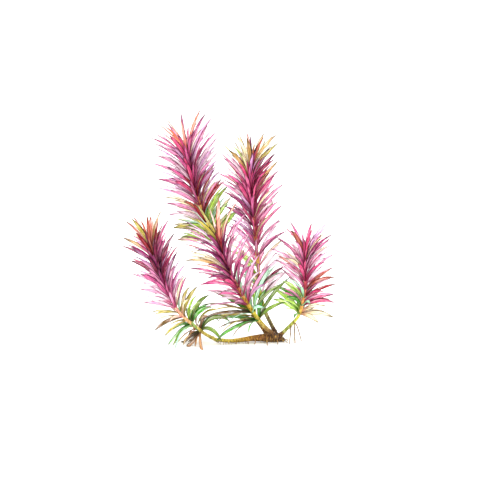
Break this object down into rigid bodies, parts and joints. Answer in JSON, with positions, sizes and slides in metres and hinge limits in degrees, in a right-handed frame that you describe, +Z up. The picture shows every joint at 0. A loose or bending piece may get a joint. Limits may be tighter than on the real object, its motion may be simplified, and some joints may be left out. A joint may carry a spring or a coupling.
{
  "type": "aquarium plant",
  "caption": "Bushy aquarium stem plant: shoots ringed with whorls of narrow pink to green leaves rise from a creeping rhizome, cut off flat at the ground.",
  "frame": {"origin": "on the ground, in the middle of the flat cut under the crown where the stems meet", "axes": "+X to the right and +Y away from a viewer at the plant's front, +Z up"},
  "size_m": [0.2472, 0.1521, 0.2658],
  "materials": {
    "rhizome": "matt fibrous skin with ring marks and roots",
    "stem": "smooth waxy skin, yellow to olive and brown",
    "green_leaf": "thin satin leaf, green with brown edges",
    "pink_leaf": "thin satin leaf, magenta and pink with crimson veins"
  },
  "bodies": {
    "root": {"rhizome": "rhizome", "left_stem": "stem", "left_whorl_01": "green_leaf", "left_whorl_02": "green_leaf", "left_whorl_03": "pink_leaf", "left_whorl_04": "pink_leaf", "left_whorl_05": "pink_leaf", "left_whorl_06": "pink_leaf", "left_whorl_07": "pink_leaf", "left_whorl_08": "pink_leaf", "left_whorl_09": "pink_leaf", "left_whorl_10": "pink_leaf", "middle_stem": "stem", "middle_whorl_01": "green_leaf", "middle_whorl_02": "green_leaf", "middle_whorl_03": "pink_leaf", "middle_whorl_04": "pink_leaf", "middle_whorl_05": "pink_leaf", "middle_whorl_06": "pink_leaf", "middle_whorl_07": "pink_leaf", "middle_whorl_08": "pink_leaf", "middle_whorl_09": "pink_leaf", "middle_whorl_10": "pink_leaf", "tall_left_stem": "stem", "tall_left_whorl_01": "green_leaf", "tall_left_whorl_02": "green_leaf", "tall_left_whorl_03": "pink_leaf", "tall_left_whorl_04": "pink_leaf", "tall_left_whorl_05": "pink_leaf", "tall_left_whorl_06": "pink_leaf", "tall_left_whorl_07": "pink_leaf", "tall_left_whorl_08": "pink_leaf", "tall_left_whorl_09": "pink_leaf", "tall_left_whorl_10": "pink_leaf", "tall_left_whorl_11": "pink_leaf", "tall_right_stem": "stem", "tall_right_whorl_01": "green_leaf", "tall_right_whorl_02": "green_leaf", "tall_right_whorl_03": "green_leaf", "tall_right_whorl_04": "pink_leaf", "tall_right_whorl_05": "pink_leaf", "tall_right_whorl_06": "pink_leaf", "tall_right_whorl_07": "pink_leaf", "tall_right_whorl_08": "pink_leaf", "tall_right_whorl_09": "pink_leaf", "tall_right_whorl_10": "pink_leaf", "tall_right_whorl_11": "pink_leaf", "tall_right_whorl_12": "pink_leaf", "tall_right_whorl_13": "pink_leaf", "tall_right_whorl_14": "pink_leaf", "right_stem": "stem", "right_whorl_01": "green_leaf", "right_whorl_02": "green_leaf", "right_whorl_03": "pink_leaf", "right_whorl_04": "pink_leaf", "right_whorl_05": "pink_leaf", "right_whorl_06": "pink_leaf", "right_whorl_07": "pink_leaf", "right_whorl_08": "pink_leaf"}
  },
  "joints": []
}
